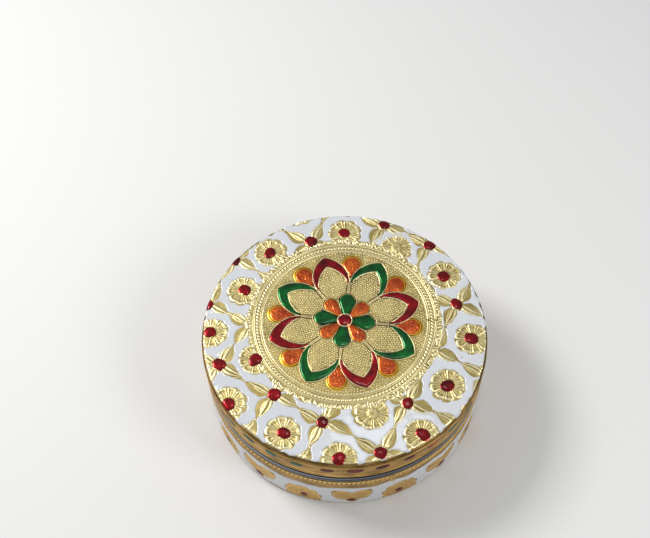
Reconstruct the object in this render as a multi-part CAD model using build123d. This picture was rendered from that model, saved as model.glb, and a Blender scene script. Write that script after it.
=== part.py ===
from build123d import *
from math import acos, ceil, cos, pi, radians, sin
import os

os.makedirs("parts", exist_ok=True)

# A round meenakari box: a pressed steel pan with a lift-off lid, both skinned
# with embossed gilt sheet and coloured with enamel. The origin is the middle of
# the underside, +Z is up, and -Y is the front. All sizes are in millimetres.

# Overall sizes of the closed box
box_radius = 75.0
box_height = 53.5
lid_depth = 16.0
steel_band_height = 7.0

# Sheet and coating thicknesses
steel_thickness = 0.6
gilt_thickness = 0.5
plate_thickness = 0.8
relief_height = 0.5
white_thickness = 0.4
inlay_depth = 0.4
dot_height = 0.4

# Clearances
lid_side_clearance = 0.3
lid_seat_gap = 0.4
neck_top_gap = 0.6
enamel_gap = 0.1

# Steel pan and lid
pan_corner = 1.6
bead_set_in = 0.3
hem_height = 4.0
lid_corner = 1.0

# Ribs pressed into the gilt strips, and the seam where the base's strip laps over itself
rib_width = 1.2
rope_width = 3.6
edge_width = 1.0
lap_width = 4.0
lap_angle = -71.0

# Trellis of rosettes, knots and leaves on the lid
trellis_pitch = 30.3
trellis_angle = 61.6
trellis_start_x = 51.6
trellis_start_y = -33.7
rosette_radius = 9.6
rosette_notch = 8.5
rosette_petals = 8
leaf_length = 10.6
leaf_width = 4.8
knot_radius = 4.4
dot_radius = 3.1
dot_overhang = 1.2
vine_sway = 8.0
smallest_patch = 2.5

# Medallion, set a little behind the lid's centre
medallion_shift_x = 0.3
medallion_shift_y = 6.2
medallion_turn = 16.0
medallion_petals = 8
border_radius = 51.5
ridge_radius = 43.8
ridge_width = 0.9
rope_radius = 46.4
rope_ring_width = 2.4
petal_tip = 41.4
petal_valley = 26.6
waist_from_tip = 7.2
petal_waist_width = 8.2
rim_width = 0.8
tip_band = 5.4
valley_band = 2.2
drop_point = 29.0
drop_centre = 35.3
drop_radius = 4.3
floret_point = 5.6
floret_centre = 12.2
floret_radius = 3.9
floret_turn = -7.0
floret_eye = 3.5

# Painted ovals round the lid's side
oval_pitch = 14.2
oval_length = 8.4
oval_height = 3.6
oval_drop = 8.2
oval_rise = 0.2
oval_start = -48.0
ovals_in_a_run = 4

# Windows in the enamel round the base, where the gilt rosettes and leaves show
base_motif_pitch = 52.3
base_motif_height = 6.6
base_motif_start = 13.0
base_rosette_radius = 9.6
base_leaf_length = 12.5
base_leaf_root = 2.4
base_leaf_width = 6.0
base_leaf_lean = 38.0
base_white_thickness = 0.3
base_dot_radius = 2.6
base_dot_rise = 0.15

# Places that follow from the sizes above
steel_radius = box_radius - relief_height - gilt_thickness
skin_radius = steel_radius + gilt_thickness
inner_radius = steel_radius - steel_thickness
neck_radius = inner_radius - lid_side_clearance
neck_inner = neck_radius - steel_thickness
ground_height = box_height - relief_height
plate_underside = ground_height - plate_thickness
plate_radius = skin_radius - lid_corner / 2
lid_ceiling = plate_underside - steel_thickness
lid_bottom = box_height - lid_depth
bead_top = lid_bottom - lid_seat_gap
wrap_top = lid_bottom - steel_band_height
neck_top = lid_ceiling - neck_top_gap
rope_bottom = wrap_top - rope_width
field_bottom = pan_corner + edge_width
field_radius = skin_radius + base_white_thickness
medallion = Location((medallion_shift_x, medallion_shift_y, 0), (0, 0, medallion_turn))
petal_step = 360 / medallion_petals
petal_waist = petal_tip - waist_from_tip


def at(radius, height):
    """A point of a turned profile."""
    return Vector(radius, 0, height)


def around(radius, angle):
    """A point of a flat outline, by its distance and direction."""
    return Vector(radius * cos(radians(angle)), radius * sin(radians(angle)))


def mirrored(point):
    """The same point on the other side of the X axis."""
    return Vector(point.X, -point.Y)


def turned(points, rounded=()):
    """The solid of revolution of a profile, with an arc through a middle point where one is given."""
    edges = []
    for k, point in enumerate(points):
        following = points[(k + 1) % len(points)]
        bulge = dict(rounded).get(k)
        edges.append(ThreePointArc(point, bulge, following) if bulge else Line(point, following))
    return revolve(make_face(edges), Axis.Z)


def tube(inner, outer, bottom, top):
    """A straight ring between two radii."""
    return turned([at(inner, bottom), at(outer, bottom), at(outer, top), at(inner, top)])


def rib(radius, middle, width):
    """A ridge with sloping sides, standing out of an upright wall as high as the relief."""
    foot = radius - gilt_thickness / 2
    crest = radius + relief_height
    return turned([
        at(foot, middle - width / 2),
        at(radius, middle - width / 2),
        at(crest, middle - width / 4),
        at(crest, middle + width / 4),
        at(radius, middle + width / 2),
        at(foot, middle + width / 2),
    ])


def rosette(radius, notch):
    """A flower outline: each petal has a flat end and meets the next in a notch."""
    step = 360 / rosette_petals
    points = []
    for k in range(rosette_petals):
        points += [around(notch, (k - 0.5) * step), around(radius, (k - 0.22) * step)]
        points.append(around(radius, (k + 0.22) * step))
    return make_face(Polyline(*points, close=True))


def leaf(start, length, width):
    """A long leaf lying along X, broad near its start and pointed at both ends."""
    broad = start + 0.35 * length
    slim = start + 0.7 * length
    upper = [Vector(broad, width / 2), Vector(slim, width / 3)]
    lower = [mirrored(point) for point in reversed(upper)]
    return make_face(Polyline(Vector(start, 0), *upper, Vector(start + length, 0), *lower, close=True))


def drop(point, centre, radius):
    """A round drop along X whose straight sides meet in a point nearer the origin."""
    side = acos(radius / (centre - point))
    touch = Vector(centre - radius * cos(side), radius * sin(side))
    return make_face([
        Line(Vector(point, 0), touch),
        ThreePointArc(touch, Vector(centre + radius, 0), mirrored(touch)),
        Line(mirrored(touch), Vector(point, 0)),
    ])


def prism(outline, bottom, top):
    """The upright block over a flat outline."""
    return Pos(0, 0, bottom) * extrude(outline, top - bottom)


def through_wall(outline, height, inner, outer):
    """The block that an outline makes when it is pushed through the front of the wall."""
    upright = Pos(0, 0, height) * Rot(90, 0, 0)
    return upright * (Pos(0, 0, inner) * extrude(outline, outer - inner))


def spaced(shape, count, first, step):
    """Copies of a shape turned about the origin."""
    return [Rot(0, 0, first + k * step) * shape for k in range(count)]


def solids_of(shapes):
    """The separate solids among the shapes, as one group."""
    return Compound(children=[solid for shape in shapes for solid in shape.solids()])


def save(node, shape):
    """Writes one sub-part."""
    shape.label = node
    export_step(shape, f"parts/{node}.step")


# Base pan: flat floor, rolled corner, wall, swelling bead, and the neck that the lid slips over
floor_height = steel_thickness
bead_middle = (wrap_top + bead_top) / 2
outside = [
    at(0, 0),
    at(steel_radius - pan_corner, 0),
    at(steel_radius, pan_corner),
    at(steel_radius, wrap_top),
    at(steel_radius, bead_top),
    at(neck_radius, bead_top),
    at(neck_radius, neck_top),
    at(0, neck_top),
]
inside = [
    at(0, floor_height),
    at(inner_radius - pan_corner, floor_height),
    at(inner_radius, floor_height + pan_corner),
    at(inner_radius, bead_top - steel_thickness),
    at(neck_inner, bead_top - steel_thickness / 2),
    at(neck_inner, neck_top - hem_height),
    at(neck_inner - steel_thickness, neck_top - hem_height + steel_thickness),
    at(neck_inner - steel_thickness, neck_top + steel_thickness),
    at(0, neck_top + steel_thickness),
]
base_pan = turned(outside, [(3, at(box_radius - bead_set_in, bead_middle))]) - turned(inside)

# Lid pan: flat top, rounded corner and a skirt that slips over the neck
lid_outside = [
    at(0, lid_bottom),
    at(steel_radius, lid_bottom),
    at(steel_radius, plate_underside - lid_corner),
    at(steel_radius - lid_corner, plate_underside),
    at(0, plate_underside),
]
lid_hollow = [
    at(0, lid_bottom - steel_thickness),
    at(inner_radius, lid_bottom - steel_thickness),
    at(inner_radius, lid_ceiling - lid_corner / 2),
    at(inner_radius - lid_corner / 2, lid_ceiling),
    at(0, lid_ceiling),
]
lid_pan = turned(lid_outside) - turned(lid_hollow)

# Gilt strip round the lid, with a pressed rib along each edge
strip_top = plate_underside - lid_corner
lid_band = tube(steel_radius, skin_radius, lid_bottom, strip_top)
for middle in (strip_top - rib_width, lid_bottom + rib_width):
    lid_band += rib(skin_radius, middle, rib_width)


# Medallion: a star of pointed petals with enamel pockets in their tips
def star_outline():
    """All the petals as one outline."""
    edges = []
    waist = Vector(petal_waist, petal_waist_width)
    for k in range(medallion_petals):
        turn = k * petal_step
        tip = around(petal_tip, turn)
        before = around(petal_valley, turn - petal_step / 2)
        after = around(petal_valley, turn + petal_step / 2)
        edges.append(ThreePointArc(before, mirrored(waist).rotate(Axis.Z, turn), tip))
        edges.append(ThreePointArc(tip, waist.rotate(Axis.Z, turn), after))
    return make_face(edges)


def tip_outline(inset):
    """The bent band of enamel round one petal's tip, narrowed by the inset all round."""
    margin = rim_width + inset
    valley = around(petal_valley, petal_step / 2)
    corner = Vector(valley.X + margin, valley.Y - margin)
    waist = Vector(petal_waist, petal_waist_width - margin)
    tip = Vector(petal_tip - 1.5 * margin, 0)
    inner_corner = Vector(corner.X, corner.Y - valley_band + 2 * inset)
    inner_waist = Vector(petal_waist - tip_band / 2, (waist.Y + inner_corner.Y) / 2 - valley_band + inset)
    inner_tip = Vector(petal_tip - rim_width - tip_band + inset, 0)
    return make_face([
        ThreePointArc(corner, waist, tip),
        ThreePointArc(tip, mirrored(waist), mirrored(corner)),
        Line(mirrored(corner), mirrored(inner_corner)),
        ThreePointArc(mirrored(inner_corner), mirrored(inner_waist), inner_tip),
        ThreePointArc(inner_tip, inner_waist, inner_corner),
        Line(inner_corner, corner),
    ])


def drop_inlay(inset):
    """One of the drops between the petals."""
    return drop(drop_point + 2 * inset, drop_centre, drop_radius - inset)


def floret_inlay(inset):
    """One of the drops of the floret in the middle."""
    return drop(floret_point + 2 * inset, floret_centre, floret_radius - inset)


# Lid plate: embossed gilt disc with the medallion's rings, star and enamel pockets
half_step = petal_step / 2
floret_start = floret_turn - medallion_turn
star_floor = box_height - inlay_depth
ground_floor = ground_height - inlay_depth
lid_plate = prism(Circle(plate_radius), plate_underside, ground_height)
lid_plate += medallion * prism(star_outline(), ground_height - relief_height / 2, box_height)
for radius, width in ((ridge_radius, ridge_width), (rope_radius, rope_ring_width)):
    lid_plate += medallion * tube(
        radius - width / 2, radius + width / 2, ground_height - relief_height / 2, box_height
    )
for pocket in spaced(tip_outline(0), medallion_petals, 0, petal_step):
    lid_plate -= medallion * prism(pocket, star_floor, box_height)
for pocket in spaced(drop_inlay(0), medallion_petals, half_step, petal_step):
    lid_plate -= medallion * prism(pocket, ground_floor, box_height)
for pocket in spaced(floret_inlay(0), medallion_petals, floret_start, petal_step):
    lid_plate -= medallion * prism(pocket, star_floor, box_height)
lid_plate -= medallion * prism(Circle(floret_eye), star_floor, box_height)


def inlays(outline, every, first, bottom):
    """Enamel in every so many of the medallion's pockets, standing to just under the relief."""
    block = prism(outline, bottom, bottom + inlay_depth - enamel_gap)
    count = medallion_petals // every
    return solids_of([medallion * shape for shape in spaced(block, count, first, every * petal_step)])


medallion_red_tips = inlays(tip_outline(enamel_gap), 2, 0, star_floor)
medallion_green_tips = inlays(tip_outline(enamel_gap), 2, petal_step, star_floor)
medallion_orange_drops = inlays(drop_inlay(enamel_gap), 1, half_step, ground_floor)
floret_green_drops = inlays(floret_inlay(enamel_gap), 2, floret_start, star_floor)
floret_orange_drops = inlays(floret_inlay(enamel_gap), 2, floret_start + petal_step, star_floor)
floret_red_centre = medallion * prism(Circle(floret_eye - enamel_gap), star_floor, box_height)

# Trellis: rosettes on a square lattice, knots half way, leaves from knot to knot
step_a = around(trellis_pitch, trellis_angle)
step_b = around(trellis_pitch, trellis_angle + 90)
start = Vector(trellis_start_x, trellis_start_y)
border_centre = Vector(medallion_shift_x, medallion_shift_y)


def lattice(shift, reach):
    """The lattice places whose motif, of that reach, shows between the medallion and the rim."""
    turns = ceil(2 * box_radius / trellis_pitch) + 2
    places = []
    for i in range(-turns, turns + 1):
        for j in range(-turns, turns + 1):
            place = start + step_a * (i + shift) + step_b * (j + shift)
            clear_of_border = (place - border_centre).length > border_radius - reach
            if place.length < plate_radius + reach and clear_of_border:
                places.append(place)
    return places


def trellis():
    """The windows in the lid's enamel: every rosette, knot and leaf."""
    drawing = []
    flower = rosette(rosette_radius, rosette_notch)
    for place in lattice(0, rosette_radius):
        drawing.append(Pos(place.X, place.Y) * flower)
    knot = RegularPolygon(knot_radius, 8)
    blade = leaf(trellis_pitch / 2 - leaf_length, leaf_length + 1, leaf_width)
    for place in lattice(0.5, trellis_pitch / 2):
        drawing.append(Pos(place.X, place.Y) * knot)
        for turn in range(4):
            direction = trellis_angle + 90 * turn + vine_sway
            drawing.append(Pos(place.X, place.Y) * Rot(0, 0, direction) * blade)
    return drawing


white_field = Circle(plate_radius) - Pos(border_centre.X, border_centre.Y) * Circle(border_radius)
white_field = white_field - trellis()
lid_white_enamel = solids_of([
    prism(face, ground_height, ground_height + white_thickness)
    for face in white_field.faces()
    if face.area > smallest_patch
])
dot = prism(RegularPolygon(dot_radius, 8), ground_height, box_height + dot_height)
dot_inset = dot_radius - dot_overhang
within_plate = prism(Circle(plate_radius), ground_height, box_height + dot_height)
lid_red_dots = solids_of([
    Pos(place.X, place.Y) * dot & within_plate
    for place in lattice(0, -dot_inset) + lattice(0.5, -dot_inset)
])

# Painted ovals round the lid's side, in runs of one colour
oval_count = round(2 * pi * skin_radius / oval_pitch)
oval_points = [Vector(-oval_length / 2, 0), Vector(-oval_length / 5, oval_height / 2)]
oval_points += [Vector(oval_length / 5, oval_height / 2), Vector(oval_length / 2, 0)]
oval_points += [mirrored(point) for point in reversed(oval_points[1:3])]
oval_outline = make_face(Polyline(*oval_points, close=True))
oval_back = skin_radius + enamel_gap
oval = through_wall(oval_outline, box_height - oval_drop, oval_back, oval_back + oval_rise)
oval_runs = {"green": [], "red": [], "orange": []}
for k in range(oval_count):
    colour = list(oval_runs)[k // ovals_in_a_run % len(oval_runs)]
    oval_runs[colour].append(Rot(0, 0, oval_start + (k + 0.5) * 360 / oval_count) * oval)

# Gilt strip round the base: rope border, bottom edge and the seam where its ends lap
base_wrap = tube(steel_radius, skin_radius, pan_corner, wrap_top)
base_wrap += rib(skin_radius, wrap_top - rope_width / 2, rope_width)
base_wrap += tube(skin_radius - gilt_thickness / 2, field_radius, pan_corner, field_bottom)
lap_block = Rot(0, 0, lap_angle) * Pos(box_radius, 0, box_height / 2) * Box(box_radius, lap_width, box_height)
base_wrap += tube(skin_radius - gilt_thickness / 2, field_radius, field_bottom, rope_bottom) & lap_block

# Enamel round the base, with a window for each rosette and each pair of leaves
motif_count = round(2 * pi * skin_radius / base_motif_pitch)
motif_step = 360 / motif_count
flower_window = through_wall(
    RegularPolygon(base_rosette_radius, 10), base_motif_height, box_radius / 2, 2 * box_radius
)
leaf_outline = leaf(-base_leaf_root, base_leaf_length + base_leaf_root, base_leaf_width)
leaf_windows = [
    through_wall(Rot(0, 0, lean) * leaf_outline, base_motif_height, box_radius / 2, 2 * box_radius)
    for lean in (90 - base_leaf_lean, 90 + base_leaf_lean)
]
windows = spaced(flower_window, motif_count, base_motif_start, motif_step)
for window in leaf_windows:
    windows += spaced(window, motif_count, base_motif_start + motif_step / 2, motif_step)
base_white_enamel = tube(skin_radius, field_radius, field_bottom, rope_bottom) - windows - lap_block

dot_back = field_radius
wall_dot = through_wall(
    RegularPolygon(base_dot_radius, 8), base_motif_height, dot_back, dot_back + base_dot_rise
)
base_red_dots = solids_of(spaced(wall_dot, 2 * motif_count, base_motif_start, motif_step / 2))

save("base_pan", base_pan)
save("base_wrap", base_wrap)
save("base_white_enamel", base_white_enamel)
save("base_red_dots", base_red_dots)
save("lid_pan", lid_pan)
save("lid_band", lid_band)
save("lid_plate", lid_plate)
save("lid_white_enamel", lid_white_enamel)
save("lid_red_dots", lid_red_dots)
save("medallion_red_tips", medallion_red_tips)
save("medallion_green_tips", medallion_green_tips)
save("medallion_orange_drops", medallion_orange_drops)
save("floret_green_drops", floret_green_drops)
save("floret_orange_drops", floret_orange_drops)
save("floret_red_centre", floret_red_centre)
for colour, run in oval_runs.items():
    save(f"band_{colour}_ovals", solids_of(run))
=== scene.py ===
import math
import random

import bmesh
import bpy
from mathutils import Matrix, Vector, noise


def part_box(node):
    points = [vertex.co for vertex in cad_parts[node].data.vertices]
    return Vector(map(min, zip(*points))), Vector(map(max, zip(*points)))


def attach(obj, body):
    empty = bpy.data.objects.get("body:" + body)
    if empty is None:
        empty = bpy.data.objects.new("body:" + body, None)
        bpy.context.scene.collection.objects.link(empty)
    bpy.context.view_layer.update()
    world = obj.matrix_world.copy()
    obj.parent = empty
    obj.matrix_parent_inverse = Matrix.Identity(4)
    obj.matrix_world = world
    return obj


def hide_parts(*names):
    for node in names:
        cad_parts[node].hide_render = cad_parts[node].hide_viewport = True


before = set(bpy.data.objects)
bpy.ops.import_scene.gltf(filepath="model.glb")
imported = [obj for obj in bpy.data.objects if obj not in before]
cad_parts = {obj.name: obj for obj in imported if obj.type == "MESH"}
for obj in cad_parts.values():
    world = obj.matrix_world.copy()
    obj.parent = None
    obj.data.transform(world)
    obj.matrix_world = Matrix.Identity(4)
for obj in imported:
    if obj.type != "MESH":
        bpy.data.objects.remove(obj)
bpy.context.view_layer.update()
print("frame loaded:", len(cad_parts), "nodes")

# A round meenakari box: steel pan and lid, skinned with embossed gilt foil and hand-poured enamel.
# Shapes are worked out in millimetres and brought to metres when a piece is finished.
millimetre = 0.001
fullTurn = 2 * math.pi


def cadHeight(node, end):
    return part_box(node)[end].z / millimetre


def cadRadius(node):
    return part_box(node)[1].x / millimetre


lid = {
    "panTop": cadHeight("lid_pan", 1),
    "plateRadius": cadRadius("lid_plate"),
    "edgeRounding": 0.8,
    "bandBottom": cadHeight("lid_band", 0),
    "bandRadius": cadRadius("lid_band"),
    "relief": 0.5,  # how far ornament may stand out of the side strips
    "gap": 0.4,  # between the lid's strip and the steel bead under it
}
base = {
    "wrapBottom": cadHeight("base_wrap", 0),
    "wrapTop": cadHeight("base_wrap", 1),
    "neckTop": cadHeight("base_pan", 1),
}
ground = cadHeight("lid_white_enamel", 0)  # height of the face that the lid's ornament stands on
foilRadius = lid["bandRadius"] - lid["relief"]  # of the side strips' faces
beadTop = lid["bandBottom"] - lid["gap"]
buried = 0.1  # how deep the foot of a raised shape lies in the foil


# Tools for shapes

def sheet(bm, across, along, place):
    # a grid whose every vertex is placed by its two coordinates, each from 0 to 1
    made = bmesh.ops.create_grid(bm, x_segments=across, y_segments=along, size=0.5)
    for v in made["verts"]:
        v.co = place(v.co.x + 0.5, v.co.y + 0.5)
    return made["verts"]


def lathe(bm, profile, steps=240):
    # spins a chain of (radius, height) points about the box's axis
    chain = [bm.verts.new((radius, 0, height)) for radius, height in profile]
    edges = [bm.edges.new(pair) for pair in zip(chain, chain[1:])]
    bmesh.ops.spin(
        bm, geom=chain + edges, cent=(0, 0, 0), axis=(0, 0, 1), dvec=(0, 0, 0),
        angle=fullTurn, steps=steps, use_merge=True, use_normal_flip=False,
    )


def bump(value, middle, width):
    return math.exp(-((value - middle) / width) ** 2)


def ramp(value, start, end):
    t = min(max((value - start) / (end - start), 0), 1)
    return t * t * (3 - 2 * t)


def wobble(x, y, scale, seed=0.0):
    return noise.noise(Vector((x / scale, y / scale, seed)))


def roundWobble(radius, angle, height, scale, seed=0.0):
    # the same on a drum, where it meets itself after a full turn
    spot = Vector((radius * math.cos(angle), radius * math.sin(angle), height))
    return noise.noise(spot / scale + Vector((0, 0, seed)))


def polar(radius, angle):
    return Vector((radius * math.cos(angle), radius * math.sin(angle)))


def arcThrough(a, b, c):
    # the circle arc from a over b to c, as a function of 0 to 1
    ab, ac = b - a, c - a
    cross = 2 * (ab.x * ac.y - ab.y * ac.x)
    centre = a + Vector((
        (ac.y * ab.length_squared - ab.y * ac.length_squared) / cross,
        (ab.x * ac.length_squared - ac.x * ab.length_squared) / cross,
    ))
    first = math.atan2(a.y - centre.y, a.x - centre.x)
    sweep = math.atan2(c.y - centre.y, c.x - centre.x) - first
    if cross < 0 and sweep > 0:
        sweep -= fullTurn
    if cross > 0 and sweep < 0:
        sweep += fullTurn
    return lambda t: centre + polar((a - centre).length, first + t * sweep)


def ridge(bm, path, width, height, steps):
    # a half-round raised line along a flat path on the lid
    sunk = 0.08

    def place(u, w):
        here = path(u)
        ahead = path(min(u + 0.004, 1)) - path(max(u - 0.004, 0))
        side = Vector((-ahead.y, ahead.x)).normalized()
        turn = math.pi * (1 - w)
        spot = here + side * (width / 2 * math.cos(turn))
        return (spot.x, spot.y, ground - sunk + (height + sunk) * math.sin(turn))
    sheet(bm, steps, 4, place)


def onGround(x, y, height):
    return (x, y, ground + height)


def onLid(x, y, height):
    # bends a flat layer over the lid's rounded edge and down its side
    edge, rounding = lid["plateRadius"] - lid["edgeRounding"], lid["edgeRounding"]
    reach = math.hypot(x, y)
    if reach <= edge:
        return Vector((x, y, ground + height))
    past = reach - edge
    turn = min(past / rounding, math.pi / 2)
    radius = edge + (rounding + height) * math.sin(turn)
    fall = max(past - rounding * math.pi / 2, 0)
    z = ground - rounding + (rounding + height) * math.cos(turn) - fall
    return Vector((x / reach * radius, y / reach * radius, z))


def onWall(along, height, rise):
    # wraps a flat layer round the box's wall; along is measured from the front, to the right
    radius = foilRadius + rise
    angle = along / foilRadius - math.pi / 2
    return Vector((radius * math.cos(angle), radius * math.sin(angle), height))


def rollStrip(bm, profile, cuts, rippled, ripple):
    # a sheet bent along (radius, height) points and round the box; the rippled stretches are uneven
    stretches = len(profile) - 1

    def place(u, w):
        k = min(int(u * stretches), stretches - 1)
        reach, height = Vector(profile[k]).lerp(Vector(profile[k + 1]), u * stretches - k)
        angle = w * fullTurn
        if k in rippled:
            reach += ripple(angle, height)
        return (reach * math.cos(angle), reach * math.sin(angle), height)
    sheet(bm, stretches * cuts, 360, place)


def markCrests(bm, paintedLight):
    # 0 in a hollow, 1 on a crest: each vertex is compared with its neighbours, then softened once. The
    #                              gilt finishes turn this into painted shade in hollows and at a piece's
    #                              edges and a painted highlight on crests; the given shift makes a whole
    #                              piece lighter or darker as painted light
    gain = 3.0
    crest = bm.verts.layers.float.new("crest")
    bm.normal_update()
    first = {}
    for v in bm.verts:
        near = [(e.other_vert(v).co, 1 / max(e.calc_length(), 0.01)) for e in v.link_edges]
        weight = sum(share for spot, share in near)
        middle = sum((spot * share for spot, share in near), Vector()) / weight
        stand = (v.co - middle).dot(v.normal) * weight / len(near)
        first[v] = 0 if v.is_boundary else min(max(0.5 + gain * stand, 0), 1)
    for v in bm.verts:
        near = sum(first[e.other_vert(v)] for e in v.link_edges) / len(v.link_edges)
        lightShift = paintedLight(v.co) if callable(paintedLight) else paintedLight
        v[crest] = min(max(0.5 * first[v] + 0.5 * near + lightShift, 0), 1)


def finishPiece(
    bm, name, body, slot, material, replaced=(), closed=False, facing=None, sharp=None, paintedLight=None
):
    bmesh.ops.remove_doubles(bm, verts=bm.verts, dist=0.0005)
    bmesh.ops.dissolve_degenerate(bm, edges=bm.edges, dist=0.0001)
    if closed:
        bmesh.ops.recalc_face_normals(bm, faces=bm.faces)
    elif facing:
        bm.normal_update()
        wrong = [f for f in bm.faces if f.normal.dot(facing(f.calc_center_median())) < 0]
        bmesh.ops.reverse_faces(bm, faces=wrong)
    # painted light: the crest value, with its shift, paints shade and highlight into the gilt colour
    if paintedLight is not None:
        markCrests(bm, paintedLight)
    bmesh.ops.scale(bm, vec=(millimetre,) * 3, verts=bm.verts)
    mesh = bpy.data.meshes.new(name)
    bm.to_mesh(mesh)
    bm.free()
    mesh.shade_smooth()
    if sharp:
        mesh.set_sharp_from_angle(angle=math.radians(sharp))
    mesh.materials.append(material)
    piece = bpy.data.objects.new(name, mesh)
    bpy.context.scene.collection.objects.link(piece)
    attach(piece, body)
    if replaced:
        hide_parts(*replaced)
    print(name, len(mesh.polygons), "faces")
    return piece


def upwards(centre):
    return Vector((0, 0, 1))


def outwards(centre):
    return Vector((centre.x, centre.y, 0))


def offLid(centre):
    # up from the lid's top, outwards from its side
    return outwards(centre) if centre.z < ground - 0.5 else upwards(centre)


# Tools for finishes

class Wire:
    # a node's output that Python's own operators work on
    def __init__(self, finish, socket):
        self.finish, self.socket = finish, socket

    def maths(self, operation, first, second):
        return self.finish.add("ShaderNodeMath", {"operation": operation}, {0: first, 1: second})

    def __add__(self, other):
        return self.maths("ADD", self, other)

    def __radd__(self, other):
        return self.maths("ADD", other, self)

    def __sub__(self, other):
        return self.maths("SUBTRACT", self, other)

    def __rsub__(self, other):
        return self.maths("SUBTRACT", other, self)

    def __mul__(self, other):
        return self.maths("MULTIPLY", self, other)

    def __rmul__(self, other):
        return self.maths("MULTIPLY", other, self)


class Finish:
    # one material: constants go straight on the shader, patterns are fed in
    def __init__(self, name, **constants):
        self.material = bpy.data.materials.new(name)
        self.material.use_nodes = True
        self.tree = self.material.node_tree
        self.tree.nodes.clear()
        self.shader = self.tree.nodes.new("ShaderNodeBsdfPrincipled")
        output = self.tree.nodes.new("ShaderNodeOutputMaterial")
        self.tree.links.new(self.shader.outputs[0], output.inputs[0])
        for socket, value in constants.items():
            self.feed(socket, value)
        self.place = self.add("ShaderNodeTexCoord", out="Object")

    def join(self, value, socket):
        if isinstance(value, Wire):
            self.tree.links.new(value.socket, socket)
        else:
            socket.default_value = value

    def feed(self, socket, value):
        self.join(value, self.shader.inputs[socket.replace("_", " ")])

    def add(self, kind, settings=None, sockets=None, out=0):
        node = self.tree.nodes.new(kind)
        for key, value in (settings or {}).items():
            if key == "stops":
                for stop in range(len(value) - 2):
                    node.color_ramp.elements.new(0.5)
                for element, (spot, colour) in zip(node.color_ramp.elements, value):
                    element.position = spot
                    element.color = colour
            else:
                setattr(node, key, value)
        for key, value in (sockets or {}).items():
            self.join(value, node.inputs[key])
        return Wire(self, node.outputs[out])

    def speckle(self, scale, detail=2.0, rough=0.5, stretch=None):
        place = self.place
        if stretch:
            place = self.add("ShaderNodeMapping", {}, {"Vector": place, "Scale": stretch})
        sockets = {"Vector": place, "Scale": scale, "Detail": detail, "Roughness": rough}
        return self.add("ShaderNodeTexNoise", {}, sockets)

    def blend(self, factor, first, second):
        return self.add(
            "ShaderNodeMix", {"data_type": "RGBA", "blend_type": "MIX"},
            {"Factor": factor, 6: first, 7: second}, out=2,
        )

    def shades(self, value, stops):
        return self.add("ShaderNodeValToRGB", {"stops": stops}, {"Fac": value}, out="Color")

    def stretchRange(self, value, low, high, toLow=0.0, toHigh=1.0):
        return self.add(
            "ShaderNodeMapRange", {"clamp": True},
            {"Value": value, "From Min": low, "From Max": high, "To Min": toLow, "To Max": toHigh},
        )

    def dent(self, height, distance, strength=1.0, under=None):
        sockets = {"Height": height, "Distance": distance, "Strength": strength}
        if under:
            sockets["Normal"] = under
        return self.add("ShaderNodeBump", {}, sockets)


def rgb(red, green, blue):
    # a picture colour, 0 to 255, as the linear colour that renders like it
    def linear(value):
        value /= 255
        return value / 12.92 if value <= 0.04045 else ((value + 0.055) / 1.055) ** 2.4
    return (linear(red), linear(green), linear(blue), 1.0)


def giltFoil(name, bright, dull, hollow, roughness=0.3, grain=1400, crease=0.00005):
    # gilt foil: hollows keep a brown tarnish and a painted shade, crests carry a painted highlight, both
    # set by the crest value
    foil = Finish(name, Metallic=0.92)
    patches = foil.speckle(110, 3.0, 0.6)
    crest = foil.add("ShaderNodeAttribute", {"attribute_name": "crest"}, out="Fac")
    # painted shade and highlight from the crest value, mixed with random patches of tone
    shadeAndTone = crest + (patches - 0.5) * 0.45
    foil.feed("Base Color", foil.shades(shadeAndTone, [(0.14, hollow), (0.46, dull), (0.78, bright)]))
    fine = foil.speckle(grain, 2.0, 0.6)
    matt = foil.stretchRange(fine - crest * 0.3, -0.1, 0.8, roughness, roughness + 0.28)
    foil.feed("Roughness", matt)
    wide = foil.speckle(260, 2.0, 0.5)
    foil.feed("Normal", foil.dent(fine, crease * 0.5, 0.6, foil.dent(wide, crease * 4, 0.7)))
    return foil.material


def candyEnamel(name, deep, light, coat=0.6, roughness=0.22):
    # clear coloured lacquer over gilt, deeper where it pools
    lacquer = Finish(name, Metallic=0.8, Coat_Weight=coat, Coat_Roughness=0.04, Coat_IOR=1.4)
    cloud = lacquer.speckle(150, 2.0, 0.5)
    spark = lacquer.speckle(1500, 2.0, 0.7)
    tone = lacquer.stretchRange(cloud + spark * 0.5, 0.55, 0.95)
    lacquer.feed("Base Color", lacquer.blend(tone, deep, light))
    lacquer.feed("Roughness", lacquer.stretchRange(spark, 0.3, 0.7, roughness, roughness + 0.15))
    lacquer.feed("Normal", lacquer.dent(lacquer.speckle(420, 1.0), 0.00012, 0.5))
    return lacquer.material


gold = {  # painted highlight on the crests, plain tone on the slopes, tarnish and painted shade in the hollows
    "lid": (rgb(248, 236, 188), rgb(206, 186, 118), rgb(98, 78, 38)),
    "side": (rgb(232, 196, 124), rgb(186, 146, 78), rgb(78, 54, 24)),
}
lidFoil = giltFoil("gilt foil", *gold["lid"])
sideFoil = giltFoil("side foil", *gold["side"], 0.34, 900, 0.00008)
redLacquer = candyEnamel("red lacquer", rgb(76, 0, 5), rgb(162, 0, 13))
greenLacquer = candyEnamel("green lacquer", rgb(0, 54, 18), rgb(0, 112, 40))
orangeLacquer = candyEnamel("orange lacquer", rgb(164, 54, 14), rgb(230, 108, 34))
yellowHalo = candyEnamel("yellow halo", rgb(214, 150, 20), rgb(246, 200, 62), 0.3, 0.3)
darkOutline = candyEnamel("dark outline", rgb(44, 20, 8), rgb(96, 54, 22), 0.2, 0.35)
sideRed = candyEnamel("side red", rgb(56, 6, 9), rgb(116, 18, 20), 0.15, 0.4)
sideGreen = candyEnamel("side green", rgb(14, 58, 40), rgb(48, 110, 76), 0.2, 0.4)
sideOrange = candyEnamel("side orange", rgb(132, 50, 20), rgb(196, 100, 44), 0.2, 0.4)


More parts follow.
